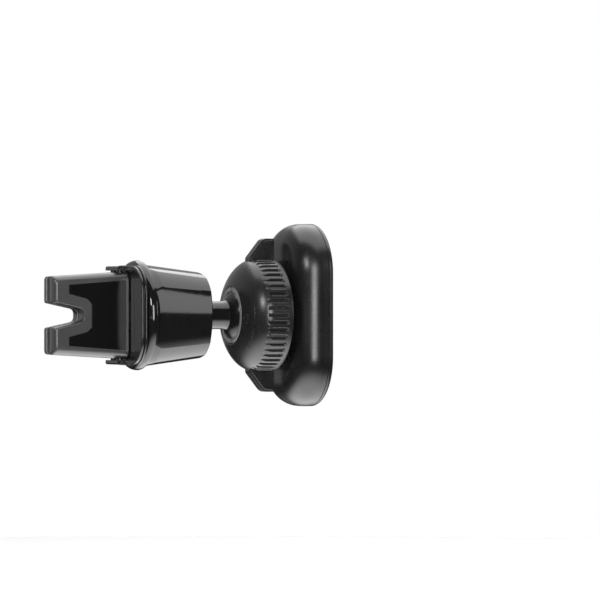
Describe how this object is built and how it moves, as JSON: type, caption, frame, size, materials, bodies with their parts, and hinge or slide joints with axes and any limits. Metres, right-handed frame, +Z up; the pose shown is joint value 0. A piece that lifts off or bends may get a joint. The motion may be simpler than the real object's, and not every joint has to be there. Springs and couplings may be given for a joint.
{
  "type": "car phone mount",
  "caption": "Air-vent clip with two rubber-faced jaws closed by a twist collar, a ball stud with a winged lock nut, and a rounded magnetic head for a phone.",
  "frame": {"origin": "midway between the tips of the two jaws, where the clip meets the vent vane", "axes": "+X along the mount from the vent to the phone, +Z up, -Y the clip's left side"},
  "size_m": [0.0797, 0.0318, 0.0514],
  "materials": {
    "black_plastic": "satin moulded black plastic",
    "gloss_black": "polished black plastic",
    "jaw_black": "smooth black plastic",
    "head_black": "fine satin black plastic",
    "nut_black": "satin black plastic",
    "grey_rubber": "matt dark grey rubber",
    "pad_rubber": "soft matt black silicone",
    "steel": "zinc-plated steel",
    "nickel": "nickel-plated magnet",
    "white_acetal": "natural acetal",
    "dark_acetal": "dark grey acetal"
  },
  "bodies": {
    "clip": {"clip_housing": "black_plastic", "hinge_plate": "black_plastic", "hinge_pin_left": "steel", "hinge_pin_right": "steel", "retaining_ring": "steel", "ball_stud": "gloss_black", "stud_screws": "steel", "jaw_spring": "steel"},
    "collar": {"twist_collar": "gloss_black"},
    "wedge": {"jaw_wedge": "white_acetal", "cam_pins": "steel"},
    "left_jaw": {"jaw_core_left": "jaw_black", "jaw_pad_left": "grey_rubber"},
    "right_jaw": {"jaw_core_right": "jaw_black", "jaw_pad_right": "grey_rubber"},
    "liner": {"ball_liner": "white_acetal"},
    "seat": {"seat_pad": "white_acetal"},
    "head": {"ball_socket": "black_plastic", "socket_screws": "steel", "back_shell": "head_black", "steel_yoke": "steel", "magnet_tray": "black_plastic", "magnet_1": "nickel", "magnet_2": "nickel", "magnet_3": "nickel", "magnet_4": "nickel", "magnet_5": "nickel", "magnet_6": "nickel", "tray_screws": "steel", "face_plate": "head_black", "face_pad": "pad_rubber"},
    "slip": {"slip_ring": "dark_acetal"},
    "nut": {"lock_nut": "nut_black"}
  },
  "joints": [
    {"name": "collar_turn", "type": "hinge", "parent": "clip", "child": "collar", "pos_m": [0.034, 0, 0], "axis": [-1, 0, 0], "range_deg": [-180, 24]},
    {"name": "wedge_slide", "type": "slide", "parent": "clip", "child": "wedge", "axis": [-1, 0, 0], "range_m": [-0.00452, 0.00062]},
    {"name": "left_jaw_pivot", "type": "hinge", "parent": "clip", "child": "left_jaw", "pos_m": [0.0202, -0.0025, 0], "axis": [0, 0, -1], "range_deg": [-9.05, 1.25], "deforming": ["jaw_spring"]},
    {"name": "right_jaw_pivot", "type": "hinge", "parent": "clip", "child": "right_jaw", "pos_m": [0.0202, 0.0025, 0], "axis": [0, 0, 1], "range_deg": [-9.05, 1.25]},
    {"name": "head_pitch", "type": "hinge", "parent": "clip", "child": "liner", "pos_m": [0.06, 0, 0], "axis": [0, 1, 0], "range_deg": [-14, 14]},
    {"name": "head_yaw", "type": "hinge", "parent": "liner", "child": "seat", "pos_m": [0.06, 0, 0], "axis": [0, 0, 1], "range_deg": [-14, 14]},
    {"name": "head_roll", "type": "hinge", "parent": "seat", "child": "head", "pos_m": [0.06, 0, 0], "axis": [1, 0, 0], "continuous": true},
    {"name": "nut_travel", "type": "slide", "parent": "head", "child": "slip", "axis": [-1, 0, 0], "range_m": [-0.000005, 0.000505]},
    {"name": "nut_turn", "type": "hinge", "parent": "slip", "child": "nut", "pos_m": [0.06, 0, 0], "axis": [-1, 0, 0], "range_deg": [0, 120]}
  ],
  "couplings": [
    {"joint": "wedge_slide", "follows": "collar_turn", "m_per_rad": 0.0014324},
    {"joint": "left_jaw_pivot", "follows": "collar_turn", "ratio": 0.05},
    {"joint": "right_jaw_pivot", "follows": "collar_turn", "ratio": 0.05},
    {"joint": "nut_travel", "follows": "nut_turn", "m_per_rad": 0.00023873}
  ]
}
